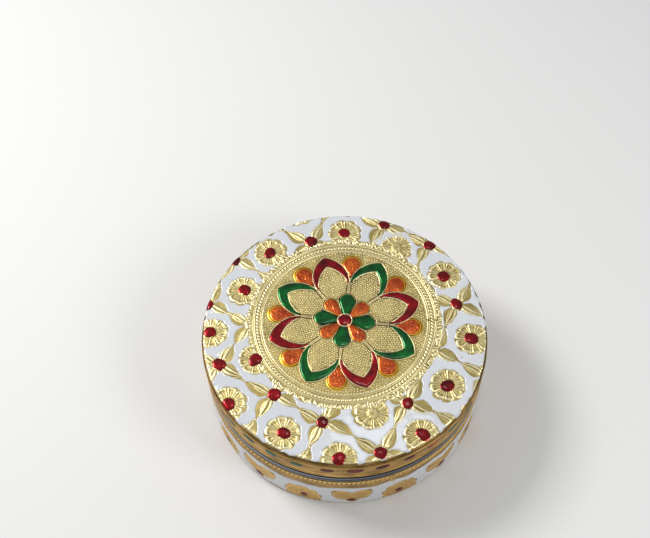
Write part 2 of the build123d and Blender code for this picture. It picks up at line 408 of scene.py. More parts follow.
def makeWhiteEnamel():
    # milky paint with a few dark pits, and slow runs in its gloss
    paint = Finish("white enamel", Coat_Weight=0.5, Coat_Roughness=0.07, Roughness=0.3)
    cloud = paint.speckle(60, 3.0, 0.6)
    milk = paint.blend(cloud, rgb(196, 198, 202), rgb(214, 216, 219))
    pits = paint.stretchRange(paint.speckle(900, 1.0, 0.5), 0.27, 0.2)
    paint.feed("Base Color", paint.blend(pits * 0.4, milk, rgb(120, 118, 112)))
    runs = paint.dent(paint.speckle(150, 2.0, 0.5), 0.0005, 0.5)
    paint.feed("Normal", paint.dent(paint.speckle(700, 2.0), 0.00008, 0.4, runs))
    return paint.material


def makeSteel(name, roughness, lines):
    # plain spun steel; the bead under the lid carries painted reflections, dark and light lines in its
    # colour for the room it mirrors, and a near-black painted shadow at its top under the lid's strip
    steel = Finish(name, Metallic=1.0)
    smear = steel.speckle(40, 2.0)
    height = steel.add("ShaderNodeSeparateXYZ", {}, {0: steel.place}, out="Z")
    low, high = base["wrapTop"] * millimetre, beadTop * millimetre
    below = steel.stretchRange(height, low, low - millimetre)
    share = steel.stretchRange(height + (smear - 0.5) * 0.0012, low, high)
    # painted reflections up the bead's height, then a painted shadow at its top
    bead = steel.shades(share, [
        (0.0, rgb(40, 42, 50)), (0.1, rgb(224, 230, 238)), (0.2, rgb(56, 62, 76)),
        (0.6, rgb(26, 31, 42)), (0.7, rgb(140, 149, 166)), (0.8, rgb(18, 20, 26)),
    ])
    plain = steel.blend(smear, rgb(176, 180, 187), rgb(204, 207, 212))
    bottom = lid["bandBottom"]
    above = steel.stretchRange(height, (bottom - 0.6) * millimetre, (bottom + 1) * millimetre)
    steel.feed("Base Color", steel.blend(below + above, bead, plain))
    turned = steel.speckle(lines, 2.0, 0.6, (0.02, 0.02, 1.0))
    steel.feed("Roughness", steel.stretchRange(turned, 0.2, 0.8, roughness, roughness + 0.12))
    steel.feed("Normal", steel.dent(turned, 0.00001, 0.4))
    return steel.material


whiteEnamel = makeWhiteEnamel()
bandSteel = makeSteel("polished steel", 0.09, 2600)
print("finishes ready")

# The trellis on the lid: a square lattice of rosettes with knots half way between them

trellis = {
    "pitch": 30.3,
    "turn": math.radians(61.6),
    "start": Vector((51.6, -33.7)),
    "sway": 1.1,  # how far a vine swings to each side between two knots
    "rosetteRadius": 9.4,
    "petals": 9,
    "knotRadius": 3.5,
    "rosetteReach": 8.5,  # how far past the field's edges a rosette's middle may lie
    "vineReach": 16,
    # where the stretched foil really has its motifs, read off the photograph and laid flat
    "rosettesSeen": [
        (-30.4, -57.9), (-2.2, -71.4), (37.9, -58.7), (52.3, -31.3), (66.4, -4.7), (54.3, 34.0),
        (0.0, 61.9), (-58.2, -41.6), (-45.8, -16.9), (-69.7, -1.5), (-54.0, 24.5), (-40.7, 48.9),
        (14.1, -47.2), (28.7, 52.3),
    ],
    "knotsSeen": [
        (-35.4, -37.1), (-10.5, -51.7), (18.0, -67.7), (31.3, -41.4), (60.0, 15.7), (46.7, 54.0),
        (22.2, 66.9), (-18.6, 56.2), (-59.6, 44.4), (-64.7, -20.2), (-73.1, 16.3),
    ],
    "unpainted": [(-1, 1), (2, 2)],  # rosettes half under the medallion, with no red dot
}
medallion = {
    "centre": Vector((0.3, 6.2)),
    "turn": math.radians(16),
    "petals": 8,
    "borderRadius": 51.3,
}
alongA = polar(trellis["pitch"], trellis["turn"])
alongB = polar(trellis["pitch"], trellis["turn"] + math.pi / 2)
halfPitch = trellis["pitch"] / 2


def latticePlace(i, j):
    return trellis["start"] + alongA * i + alongB * j


def latticeShare(spot):
    offset = spot - trellis["start"]
    return offset.dot(alongA) / trellis["pitch"] ** 2, offset.dot(alongB) / trellis["pitch"] ** 2


def readDrift():
    # how far each motif that was seen lies from its place in a perfect lattice
    found = []
    for spots, shift in ((trellis["rosettesSeen"], 0.0), (trellis["knotsSeen"], 0.5)):
        for spot in map(Vector, spots):
            i, j = (round(share - shift) + shift for share in latticeShare(spot))
            found.append((spot, spot - latticePlace(i, j)))
    return found


driftSeen = readDrift()


def drift(spot):
    # the mean of the drifts that were seen, the nearest ones weighing most
    blur = 6
    total, weights = Vector((0, 0)), 0.0001
    for seen, offset in driftSeen:
        weight = 1 / ((spot - seen).length_squared + blur) ** 1.5
        total += offset * weight
        weights += weight
    return total / weights


def motifPlace(i, j):
    place = latticePlace(i, j)
    return place + drift(place + drift(place))


def toCell(spot):
    # the spot as seen from the nearest rosette, along the lattice's two directions
    i, j = latticeShare(spot - drift(spot))
    return (i - round(i)) * trellis["pitch"], (j - round(j)) * trellis["pitch"]


def rosetteEdge(angle, radius, petals):
    return radius * (0.86 + 0.14 * abs(math.cos(petals * angle / 2)) ** 0.6)


vine = {"leafStart": 2.4, "leafLength": 12.2, "leafWidth": 3.4, "stemWidth": 1.0, "flutes": 3}


def leafHalfWidth(fromKnot):
    u = min(max((fromKnot - vine["leafStart"]) / vine["leafLength"], 0), 1)
    return vine["leafWidth"] * max(math.sin(math.pi * u ** 0.66), 0) ** 0.8


def vineHalfWidth(fromKnot):
    # half the width of bare gilt along a vine: wide at the leaf, narrow where two tips meet
    return max(leafHalfWidth(fromKnot) - 0.1, 0.5 + 1.6 * bump(fromKnot, 0, 3.0))


def vineGap(across, along):
    swing = trellis["sway"] * math.sin(math.pi * along / halfPitch)
    line = math.copysign(halfPitch, across) + swing
    return abs(across - line) - vineHalfWidth(halfPitch - abs(along))


def giltGap(spot):
    # distance from bare gilt, in millimetres; enamel lies where it is more than nothing
    a, b = toCell(spot)
    petalEnd = rosetteEdge(math.atan2(b, a), trellis["rosetteRadius"], trellis["petals"])
    fromRosette = math.hypot(a, b) - petalEnd
    fromKnot = math.hypot(halfPitch - abs(a), halfPitch - abs(b)) - trellis["knotRadius"] - 0.4
    outward = spot - medallion["centre"]
    ragged = 0.9 * wobble(spot.x, spot.y, 5.0, 3.1)
    fromBorder = outward.length - medallion["borderRadius"] + ragged
    gap = min(fromRosette + 0.1, fromKnot, vineGap(a, b), vineGap(b, a), fromBorder)
    brush = 0.45 * wobble(spot.x, spot.y, 3.2, 7.7) + 0.22 * wobble(spot.x, spot.y, 1.1, 1.3)
    return gap + brush


def isOnField(spot, reach):
    clear = (spot - medallion["centre"]).length > medallion["borderRadius"] - reach
    return spot.length < lid["plateRadius"] + reach and clear


def motifPlaces(shift, reach):
    # lattice numbers and place of every motif that shows on the lid
    cells = [(i, j, motifPlace(i + shift, j + shift)) for i in range(-8, 9) for j in range(-8, 9)]
    return [cell for cell in cells if isOnField(cell[2], reach)]


rosettePlaces = motifPlaces(0, trellis["rosetteReach"])
knotPlaces = motifPlaces(0.5, trellis["vineReach"])

# Gilt disc under everything on the lid

disc = {"rings": 60, "steps": 240, "unevenness": 0.04}


def discShadeAndRimHighlight(spot):
    # painted shade darkens the disc where it lies between the ornaments, and a painted highlight
    # lightens its rim
    edge = lid["plateRadius"]
    return 0.55 * ramp(spot.xy.length, edge - 0.6, edge) - 0.14


def makeDisc():
    bm = bmesh.new()
    reach = lid["plateRadius"] + lid["edgeRounding"]

    def place(u, w):
        flat = polar(max(u, 0.0001) * reach, w * fullTurn)
        return onLid(flat.x, flat.y, disc["unevenness"] * wobble(flat.x, flat.y, 4.0))
    sheet(bm, disc["rings"], disc["steps"], place)
    finishPiece(bm, "gilt_disc", "lid", "gilt", lidFoil, ["lid_plate"], facing=upwards, paintedLight=discShadeAndRimHighlight)


# Rosettes: hollow petals with raised rims round a low hub

def trimmed(x, y, height):
    # keeps a stamped motif inside the plate's edge and outside the medallion's border
    spot = Vector((x, y))
    edge, border = lid["plateRadius"] - 0.25, medallion["borderRadius"] - 0.6
    if spot.length > edge:
        spot = spot.normalized() * edge
        height = -buried
    outward = spot - medallion["centre"]
    if outward.length < border:
        spot = medallion["centre"] + outward.normalized() * border
        height = -buried
    return onLid(spot.x, spot.y, height)


def petalRelief(angle, share, petals, strength):
    # height over a rosette; share is how far out the spot lies, from 0 to 1
    side = 1 - abs((angle * petals / fullTurn) % 1 - 0.5) * 2
    rims = 0.3 * bump(side, 0.74, 0.15) * ramp(share, 0.3, 0.6)
    lip = 0.34 * bump(share, 0.86, 0.08) * (1 - side ** 4)
    vein = 0.05 * bump(side, 0, 0.3) * ramp(share, 0.35, 0.5) * (1 - ramp(share, 0.6, 0.8))
    hub = 0.4 * (1 - ramp(share, 0.2, 0.38))
    groove = -0.3 * bump(side, 1, 0.13) * ramp(share, 0.3, 0.5)
    fall = 1 - ramp(share, 0.93, 1.0)
    return (0.16 + strength * (rims + lip + vein) + hub + groove) * fall - buried * (1 - fall)


def makeRosettes():
    bm = bmesh.new()
    rng = random.Random(4)
    petals = trellis["petals"]
    for i, j, centre in rosettePlaces:
        turn, strengths = rng.uniform(0, 1), [rng.uniform(0.7, 1.15) for k in range(petals)]

        def place(u, w):
            angle = w * fullTurn
            strength = strengths[int(angle * petals / fullTurn + 0.0001) % petals]
            radius = u * rosetteEdge(angle, trellis["rosetteRadius"], petals)
            x, y = math.cos(angle) * 3 + centre.x, math.sin(angle) * 3 + centre.y
            radius *= 1 + 0.03 * wobble(x, y, 2.0)
            spot = centre + polar(max(radius, 0.001), angle + turn + math.pi / petals)
            height = petalRelief(angle, u, petals, strength)
            height += 0.07 * wobble(spot.x, spot.y, 0.9, 5.0) * (1 - ramp(u, 0.85, 0.95))
            return trimmed(spot.x, spot.y, height)
        sheet(bm, 18, petals * 16, place)
    finishPiece(bm, "gilt_rosettes", "lid", "gilt", lidFoil, facing=upwards, paintedLight=0.02)


# Vines: fluted leaves along S-shaped stems, and a ringed knot where they cross

def vineLine(knot, direction, side, distance):
    # a point of the vine that leaves a knot along the lattice
    swing = trellis["sway"] * math.sin(math.pi * distance / halfPitch)
    return knot + direction * distance - side * swing


def makeVines():
    bm = bmesh.new()
    rng = random.Random(9)
    for i, j, knot in knotPlaces:
        for quarter in range(4):
            direction = polar(1, trellis["turn"] + quarter * math.pi / 2)
            side = Vector((-direction.y, direction.x))
            grow, lean = rng.uniform(0.9, 1.04), rng.uniform(-0.25, 0.25)
            mirrorSwing = 1 if quarter % 2 else -1

            def leafPlace(u, w):
                across = 2 * w - 1
                distance = vine["leafStart"] + u * vine["leafLength"]
                middle = vineLine(knot, direction, side * mirrorSwing, distance)
                middle += side * (lean * math.sin(math.pi * u))
                half = leafHalfWidth(distance) * grow + 0.05
                spot = middle + side * (across * half)
                bend = across + 0.25 * math.sin(math.pi * u) * mirrorSwing
                flutes = 0.2 * math.cos(math.pi * vine["flutes"] * bend) * math.sin(math.pi * u ** 0.8)
                height = 0.16 + 0.22 * math.sqrt(max(1 - across * across, 0)) * ramp(u, 0, 0.15) + flutes
                fall = ramp(abs(across), 0.85, 1)
                height = height * (1 - fall) + 0.05 * wobble(spot.x, spot.y, 0.8, 2.0)
                return trimmed(spot.x, spot.y, height - buried * fall)
            sheet(bm, 16, 20, leafPlace)

            def stemPlace(u, w):
                turn = math.pi * (1 - w)
                distance = 1.5 + u * (halfPitch - 1)
                spot = vineLine(knot, direction, side * mirrorSwing, distance)
                spot += side * (vine["stemWidth"] / 2 * math.cos(turn))
                return trimmed(spot.x, spot.y, -buried + 0.42 * math.sin(turn))
            sheet(bm, 14, 4, stemPlace)

        def knotPlace(u, w):
            angle = w * fullTurn
            edge = trellis["knotRadius"] * (1 + 0.12 * math.cos(4 * (angle - trellis["turn"])))
            spot = knot + polar(max(u * edge, 0.001), angle)
            height = 0.3 + 0.13 * math.cos(u * 3 * fullTurn) + 0.05 * math.cos(14 * angle) * u
            fall = ramp(u, 0.88, 1)
            return trimmed(spot.x, spot.y, height * (1 - fall) - buried * fall)
        sheet(bm, 14, 42, knotPlace)
    finishPiece(bm, "gilt_vines", "lid", "gilt", lidFoil, facing=upwards, paintedLight=0.02)


# White enamel: a thick puddle between the motifs, cut where it meets the foil, then bent over the rim

enamel = {
    "thickness": 0.42,
    "shoulder": 0.8,  # how far in from its edge the puddle reaches full height
    "innerReach": 44.5,
    "past": 2.6,  # how far past the plate's edge the paint may run
    "rings": 92,
    "steps": 1300,
    "spill": 2.6,
}


def puddle(gap, shoulder, thickness):
    if gap <= 0:
        return max(gap, -0.5) * 0.6
    rise = 1 - min(gap / shoulder, 1)
    return thickness * math.sqrt(1 - rise * rise)


def layPuddle(bm, bend):
    # cuts the flat puddle just under the foil's face and bends what is left onto the box
    bmesh.ops.bisect_plane(
        bm, geom=bm.verts[:] + bm.edges[:] + bm.faces[:], dist=0.0001,
        plane_co=(0, 0, -0.04), plane_no=(0, 0, 1), clear_inner=True,
    )
    for v in bm.verts:
        v.co = bend(*v.co)


def makeLidEnamel():
    bm = bmesh.new()
    edge, inner = lid["plateRadius"], enamel["innerReach"]
    outer = edge + enamel["past"]

    def place(u, w):
        flat = polar(inner + u * (outer - inner), w * fullTurn)
        lip = edge - 0.1 + enamel["spill"] * wobble(flat.x, flat.y, 4.2, 9.0) - flat.length
        gap = min(giltGap(flat), lip)
        height = puddle(gap, enamel["shoulder"], enamel["thickness"])
        if gap > 0:
            height += 0.05 * wobble(flat.x, flat.y, 4.5, 4.0) * ramp(gap, 0, 1.5)
        return (flat.x, flat.y, height)
    sheet(bm, enamel["rings"], enamel["steps"], place)
    bmesh.ops.remove_doubles(bm, verts=bm.verts, dist=0.0005)
    layPuddle(bm, onLid)
    finishPiece(
        bm, "lid_white_puddles", "lid", "white_enamel", whiteEnamel, ["lid_white_enamel"], facing=offLid
    )


# Red dots of lacquer, each an uneven blob

dots = {
    "radius": 3.25,
    "height": 0.28,
    "foot": 0.46,  # high enough for the relief under it
    "slip": 0.6,  # how far a dot may miss the middle of its motif
    "rosettesFrom": 48,  # no dots nearer to the medallion's middle
    "knotsFrom": 50,
    "pastRim": 1.5,
    "specks": 5,
    "speckRadius": 0.45,
}


def blob(bm, place, centre, radius, height, foot, rng, cells=(8, 22)):
    # a hand-dropped dot; place bends it onto the lid or the wall
    seed = rng.uniform(0, 50)
    stretch, lean = rng.uniform(0.9, 1.12), rng.uniform(0, math.pi)

    def spotOf(u, w):
        angle = w * fullTurn
        edge = radius * (1 + 0.16 * wobble(math.cos(angle) * 1.2, math.sin(angle) * 1.2, 1.0, seed))
        reach = u * edge
        x, y = reach * math.cos(angle) * stretch, reach * math.sin(angle) / stretch
        x, y = x * math.cos(lean) - y * math.sin(lean), x * math.sin(lean) + y * math.cos(lean)
        rise = foot + height * (1 - u ** 2.6) + 0.06 * wobble(x, y, 1.2, seed) * (1 - u)
        if u > 0.99:
            rise = foot - 0.15
        return place(centre.x + x, centre.y + y, rise)
    sheet(bm, *cells, spotOf)


def makeLidDots():
    bm = bmesh.new()
    rng = random.Random(21)
    slip = dots["slip"]
    unpainted = trellis["unpainted"]
    places = [(c, dots["rosettesFrom"]) for i, j, c in rosettePlaces if (i, j) not in unpainted]
    places += [(c, dots["knotsFrom"]) for i, j, c in knotPlaces]
    for centre, nearest in places:
        outward = (centre - medallion["centre"]).length
        if centre.length < lid["plateRadius"] + dots["pastRim"] and outward > nearest:
            centre = centre + Vector((rng.uniform(-slip, slip), rng.uniform(-slip, slip)))
            radius = dots["radius"] * rng.uniform(0.92, 1.1)
            blob(bm, onLid, centre, radius, dots["height"], dots["foot"], rng)
    for speck in range(dots["specks"]):
        spot = polar(rng.uniform(56, 72), rng.uniform(0, fullTurn))
        if giltGap(spot) > 1.0:
            blob(bm, onLid, spot, dots["speckRadius"], 0.1, 0.38, rng, (3, 8))
    finishPiece(bm, "lid_red_drops", "lid", "red_enamel", redLacquer, ["lid_red_dots"], facing=upwards)


makeDisc()
makeRosettes()
makeVines()
makeLidEnamel()
makeLidDots()

# Medallion: a star of eight petals with enamelled tips, drops between them and a floret inside

star = {
    "tip": 41.3,
    "valley": 23.2,
    "waist": Vector((32.0, 8.75)),
    "innerTip": 34.6,
    "innerWaist": Vector((29.3, 5.5)),
    "fieldRoot": Vector((13.0, 4.95)),
    "fieldCorner": Vector((21.8, 8.55)),
    "fieldWaist": Vector((28.8, 5.7)),
    "dome": 0.16,
    "wall": 0.5,  # width of the gilt line between foil and enamel
}
drops = {"point": 26.8, "centre": 35.3, "radius": 5.1, "halo": 0.7}
floret = {
    "point": 0.2,
    "centre": 12.0,
    "greenRadius": 4.6,
    "orangeRadius": 4.0,
    "halo": 0.5,
    "turn": math.radians(-7),
    "eye": 3.5,
}
petalStep = fullTurn / medallion["petals"]
valleyPoint = polar(star["valley"], petalStep / 2)
outerSide = arcThrough(valleyPoint, star["waist"], Vector((star["tip"], 0)))
innerEnd = valleyPoint + Vector((1.2, -1.1))
innerSide = arcThrough(innerEnd, star["innerWaist"], Vector((star["innerTip"], 0)))
fieldTop = arcThrough(star["fieldCorner"], star["fieldWaist"], Vector((star["innerTip"] - 0.3, 0)))


def fieldSide(t):
    # a petal's field: straight along its neighbour, then a curve to the tip
    if t < 0.4:
        return star["fieldRoot"].lerp(star["fieldCorner"], t / 0.4)
    return fieldTop((t - 0.4) / 0.6)


def bothSides(half):
    # a curve from one valley over the tip to the other valley
    def path(t):
        point = half(1 - abs(1 - 2 * t))
        return Vector((point.x, point.y if t < 0.5 else -point.y))
    return path


def onMedallion(turn, point):
    # a point drawn along X, turned and moved to the medallion
    cos, sin = math.cos(turn), math.sin(turn)
    across, along = point.x * cos - point.y * sin, point.x * sin + point.y * cos
    return medallion["centre"] + Vector((across, along))


def onPetal(k, point):
    return onMedallion(medallion["turn"] + k * petalStep, point)


def fieldHalfWidth(x):
    # half the width of a petal's stippled field at a distance from the centre
    if not star["fieldRoot"].x <= x <= star["innerTip"] - 0.3:
        return 0.0
    low, high = 0.0, 1.0  # closes in on the place along the outline by halves
    for halving in range(14):
        middle = (low + high) / 2
        if fieldSide(middle).x < x:
            low = middle
        else:
            high = middle
    return fieldSide(low).y


def fieldHeight(x, y):
    half = fieldHalfWidth(x)
    share = min(abs(y) / max(half, 0.3), 1)
    return 0.1 + star["dome"] * math.sqrt(max(1 - share ** 3, 0))


def makeStar():
    bm, fields = bmesh.new(), bmesh.new()
    wall = star["wall"]
    lines = [(fieldSide, 0.42, 0.34, 60), (outerSide, wall, 0.5, 48), (innerSide, wall, 0.55, 40)]
    for k in range(medallion["petals"]):
        def fieldPlace(u, w):
            edge = fieldSide(u)
            across = edge.y * (2 * w - 1)
            spot = onPetal(k, Vector((edge.x, across)))
            return (spot.x, spot.y, ground + fieldHeight(edge.x, across * 0.999))
        sheet(fields, 24, 12, fieldPlace)
        for half, width, height, steps in lines:
            path = bothSides(half)
            ridge(bm, lambda t: onPetal(k, path(t)), width, height, steps)
    finishPiece(bm, "gilt_star", "lid", "gilt", lidFoil, facing=upwards, paintedLight=0.15)
    # painted shade: the fields' crest value is shifted darker
    finishPiece(fields, "gilt_fields", "lid", "gilt", lidFoil, facing=upwards, paintedLight=-0.12)


def makeTips(name, first, material, slot, replaced):
    bm = bmesh.new()
    for k in range(first, medallion["petals"], 2):
        def place(u, w):
            outer, inner = bothSides(outerSide)(u), bothSides(innerSide)(u)
            span = inner - outer
            inset = min(0.3, span.length * 0.3) / max(span.length, 0.001)
            spot = onPetal(k, outer + span * (inset + w * (1 - 2 * inset)))
            edge = 1 - (2 * w - 1) ** 4
            height = 0.12 + 0.3 * math.sqrt(max(edge, 0)) + 0.03 * wobble(spot.x, spot.y, 3.0, 6.0)
            return (spot.x, spot.y, ground + (height if 0 < w < 1 else -0.05))
        sheet(bm, 60, 10, place)
    finishPiece(bm, name, "lid", slot, material, replaced, facing=upwards)


def dropEdge(t, point, centre, radius):
    # outline of a drop along X: t runs from its point round the head and back
    side = math.acos(radius / (centre - point))
    touch = Vector((centre - radius * math.cos(side), radius * math.sin(side)))
    straight = 0.22
    if t < straight:
        return Vector((point, 0)).lerp(touch, t / straight)
    if t > 1 - straight:
        return Vector((point, 0)).lerp(Vector((touch.x, -touch.y)), (1 - t) / straight)
    share = (t - straight) / (1 - 2 * straight)
    angle = (math.pi - side) * (1 - 2 * share)
    return Vector((centre, 0)) + polar(radius, angle)


def makeDrops(bm, lines, outlines, shape, turns, radius, veins, height=0.4, swell=0.0):
    # domed drops with fanned veins, ringed by a dark outline and a gilt line where these are given
    for turn in turns:
        def edgeAt(t, extra=0.0):
            reach = radius + swell + extra
            return dropEdge(t, shape["point"] - 2 * extra, shape["centre"] + swell * 0.7, reach)
        middle = Vector((shape["centre"] - radius * 0.15, 0))

        def place(u, w):
            local = middle.lerp(edgeAt(w, -0.2), u)
            spot = onMedallion(turn, local)
            rise = 0.1 + height * math.sqrt(max(1 - u ** 4, 0))
            if veins:
                fan = math.atan2(local.y, local.x - shape["centre"] + 2.2 * radius)
                rise += veins * math.cos(fan * 34 + 2.5 * math.sin(local.x * 1.3)) * (1 - u ** 3)
            return (spot.x, spot.y, ground + (rise if u < 0.999 else -0.05))
        sheet(bm, 9, 66, place)
        if outlines:
            ridge(outlines, lambda t: onMedallion(turn, edgeAt(t)), 0.45, 0.5, 56)
        if lines:
            ridge(lines, lambda t: onMedallion(turn, edgeAt(t, 0.36)), 0.4, 0.34, 56)


def makeMedallionEnamel():
    makeTips("red_tips", 0, redLacquer, "red_enamel", ["medallion_red_tips"])
    makeTips("green_tips", 1, greenLacquer, "green_enamel", ["medallion_green_tips"])
    lines, outlines, halos = bmesh.new(), bmesh.new(), bmesh.new()
    count = medallion["petals"]
    outer, inner, green, eye = bmesh.new(), bmesh.new(), bmesh.new(), bmesh.new()
    turns = [medallion["turn"] + (k + 0.5) * petalStep for k in range(count)]
    makeDrops(outer, None, outlines, drops, turns, drops["radius"], 0.11)
    makeDrops(halos, None, None, drops, turns, drops["radius"], 0, 0.2, drops["halo"])
    turns = [floret["turn"] + (2 * k + 1) * petalStep for k in range(count // 2)]
    makeDrops(inner, lines, outlines, floret, turns, floret["orangeRadius"], 0.12)
    makeDrops(halos, None, None, floret, turns, floret["orangeRadius"], 0, 0.2, floret["halo"])
    turns = [floret["turn"] + 2 * k * petalStep for k in range(count // 2)]
    makeDrops(green, lines, outlines, floret, turns, floret["greenRadius"], 0.02)
    blob(eye, onGround, medallion["centre"], floret["eye"], 0.2, 0.5, random.Random(2))
    ring = floret["eye"] + 0.3
    ridge(lines, lambda t: medallion["centre"] + polar(ring, t * fullTurn), 0.7, 0.62, 40)
    enamels = [
        (outer, "orange_drops", "orange_enamel", orangeLacquer, ["medallion_orange_drops"]),
        (inner, "floret_orange", "orange_enamel", orangeLacquer, ["floret_orange_drops"]),
        (green, "floret_green", "green_enamel", greenLacquer, ["floret_green_drops"]),
        (eye, "floret_eye", "red_enamel", redLacquer, ["floret_red_centre"]),
        (halos, "drop_halos", "orange_enamel", yellowHalo, []),
        (outlines, "drop_outlines", "orange_enamel", darkOutline, []),
    ]
    for bm, name, slot, material, replaced in enamels:
        finishPiece(bm, name, "lid", slot, material, replaced, facing=upwards)
    finishPiece(lines, "gilt_drop_lines", "lid", "gilt", lidFoil, facing=upwards, paintedLight=0.15)


# Border rings of the medallion: smooth ridges, a beaded rope and a hatched leafy edge

rings = {
    # radius, width and height of each ridge
    "ridges": [(43.6, 0.9, 0.45), (44.6, 0.5, 0.3), (47.6, 0.8, 0.45), (48.4, 0.5, 0.3)],
    "ropeRadius": 46.1,
    "ropeBeads": 150,
    "ropeLean": 0.65,
    "ropeBead": (2.3, 1.1, 0.22),  # length, width and height
    "leafRadius": 50.0,
    "leaves": 230,
    "foot": -0.03,
}


def strand(bm, centre, direction, size, foot, place):
    # one short rounded stroke, used for rope strands and hatched leaves
    length, width, height = size
    side = Vector((-direction.y, direction.x))

    def spotOf(u, w):
        along, turn = 2 * u - 1, math.pi * (1 - w)
        taper = math.sqrt(max(1 - along ** 4, 0))
        spot = centre + direction * (along * length / 2)
        spot += side * (width / 2 * taper * math.cos(turn))
        return place(spot.x, spot.y, foot + height * taper * math.sin(turn))
    sheet(bm, 6, 4, spotOf)


def makeRings():
    bm = bmesh.new()
    centre = medallion["centre"]
    for radius, width, height in rings["ridges"]:
        ridge(bm, lambda t: centre + polar(radius, t * fullTurn), width, height, 240)
    for k in range(rings["ropeBeads"]):
        angle = k * fullTurn / rings["ropeBeads"]
        spot = centre + polar(rings["ropeRadius"], angle)
        direction = polar(1, angle + math.pi / 2 + rings["ropeLean"])
        strand(bm, spot, direction, rings["ropeBead"], rings["foot"], onGround)
    rng = random.Random(12)
    for k in range(rings["leaves"]):
        angle = (k + rng.uniform(-0.3, 0.3)) * fullTurn / rings["leaves"]
        spot = centre + polar(rings["leafRadius"] + rng.uniform(-0.4, 0.6), angle)
        direction = polar(1, angle + rng.uniform(-0.9, 0.9))
        size = rng.uniform(2.0, 3.6), rng.uniform(0.8, 1.4), rng.uniform(0.22, 0.38)
        strand(bm, spot, direction, size, rings["foot"], onGround)
    finishPiece(bm, "gilt_rings", "lid", "gilt", lidFoil, facing=upwards, paintedLight=0.1)


# Punched stipple over the petals' fields and the ground inside the rings

stipple = {
    "petalPitch": 1.36,
    "groundPitch": 1.45,
    "rowShare": 0.87,  # distance between rows, as a share of the pitch
    "slip": 0.2,  # how far a punch mark may miss its place
    "radius": 0.62,
    "height": 0.38,
    "inner": 27,  # the ground's marks lie between these radii
    "outer": 42.9,
    "petalMargin": 0.75,
    "floretMargin": 1.0,
    "starMargin": 0.7,
    "dropMargin": 1.4,
}


def insideStar(point):
    # the petal that a point of the medallion lies in: its number and the point along that petal
    angle = math.atan2(point.y, point.x) - medallion["turn"]
    k = round(angle / petalStep)
    turned = polar(point.length, angle - k * petalStep)
    return k, turned


def inDrop(point, turn, shape, radius, margin):
    # whether a point of the medallion lies on a drop or within a margin of it
    angle = math.atan2(point.y, point.x) - turn
    local = polar(point.length, angle)
    reach = (local.x - shape["point"]) / (shape["centre"] - shape["point"])
    if reach < 0:
        return False
    if reach < 1:
        return abs(local.y) < radius * reach + margin
    return (local - Vector((shape["centre"], 0))).length < radius + margin


def inFloret(point):
    margin = stipple["floretMargin"]
    leaves = [
        inDrop(point, floret["turn"] + n * petalStep, floret, radius, margin)
        for n, radius in enumerate([floret["greenRadius"], floret["orangeRadius"]] * 4)
    ]
    return point.length < floret["eye"] + margin or any(leaves)


def isBareGround(point):
    # true between the star and the rings, off the drops
    k, local = insideStar(point)
    if local.x < 27.5:
        return False
    for t in range(25):
        edge = outerSide(t / 24)
        if abs(edge.x - local.x) < 0.8 and abs(local.y) < edge.y + stipple["starMargin"]:
            return False
    for side in (-0.5, 0.5):
        turn = medallion["turn"] + (k + side) * petalStep
        if inDrop(point, turn, drops, drops["radius"], stipple["dropMargin"]):
            return False
    return True


def punch(bm, point, height, size):
    # one small grain of the stipple
    spot = medallion["centre"] + point
    middle = ground + height + stipple["height"] / 2 - buried
    bmesh.ops.create_cone(
        bm, cap_ends=True, cap_tris=False, segments=6, radius1=size, radius2=size * 0.3,
        depth=stipple["height"], matrix=Matrix.Translation((spot.x, spot.y, middle)),
    )


def makeStipple():
    bm = bmesh.new()
    rng = random.Random(5)
    slip, size, root = stipple["slip"], stipple["radius"], star["fieldRoot"].x
    pitch = stipple["petalPitch"]
    spacing = pitch * stipple["rowShare"]
    for k in range(medallion["petals"]):
        for row in range(int((star["innerTip"] - root) / spacing) + 1):
            x = root + 0.6 + row * pitch * stipple["rowShare"]
            half = fieldHalfWidth(x) - stipple["petalMargin"]
            for column in range(-9, 10):
                y = (column + 0.5 * (row % 2)) * pitch + rng.uniform(-slip, slip)
                point = onPetal(k, Vector((x + rng.uniform(-slip, slip), y))) - medallion["centre"]
                if abs(y) < half and x < star["innerTip"] - 1.4 and not inFloret(point):
                    punch(bm, point, fieldHeight(x, y), size * rng.uniform(0.85, 1.1))
    pitch = stipple["groundPitch"]
    spacing = pitch * stipple["rowShare"]
    for row in range(int((stipple["outer"] - stipple["inner"]) / spacing)):
        radius = stipple["outer"] - row * pitch * stipple["rowShare"]
        count = int(fullTurn * radius / pitch)
        for n in range(count):
            angle = (n + 0.5 * (row % 2) + rng.uniform(-0.16, 0.16)) * fullTurn / count
            point = polar(radius + rng.uniform(-slip, slip), angle)
            if isBareGround(point):
                punch(bm, point, 0.0, size * rng.uniform(0.8, 1.1))
    # painted highlight: the grains' crest value is shifted lighter
    finishPiece(bm, "gilt_stipple", "lid", "gilt", lidFoil, paintedLight=0.3)


makeStar()
makeMedallionEnamel()
makeRings()
makeStipple()

# Gilt strip round the lid, and the painted ovals on it

band = {
    "topDrop": 0.7,  # from the ornament's ground to the strip's top edge
    "groovePitch": 1.05,
    "groovesEnd": 5.4,  # below the ornament's ground
    "ovalHeight": ground - 8.2,
    "ovalLength": 4.3,
    "ovalWidth": 2.3,
    "ovals": 33,
    "run": 4,
    "firstAngle": -48.0,
}


def bandShadeAndPatches(spot):
    # painted shade in the rolled grooves and just under the rim, over random patches of tone
    below, end = ground - spot.z, band["groovesEnd"]
    stripes = 0.5 + 0.5 * math.cos(fullTurn * (below - band["topDrop"] - 0.1) / band["groovePitch"])
    grooves = 0.34 * stripes * (1 - ramp(below, end, end + 1.2))
    rim = 0.12 * (1 - ramp(below, 0.9, 2.2))
    patches = 0.22 * roundWobble(20, math.atan2(spot.y, spot.x), spot.z, 2.6, 4.4)
    return patches - 0.06 - grooves - rim


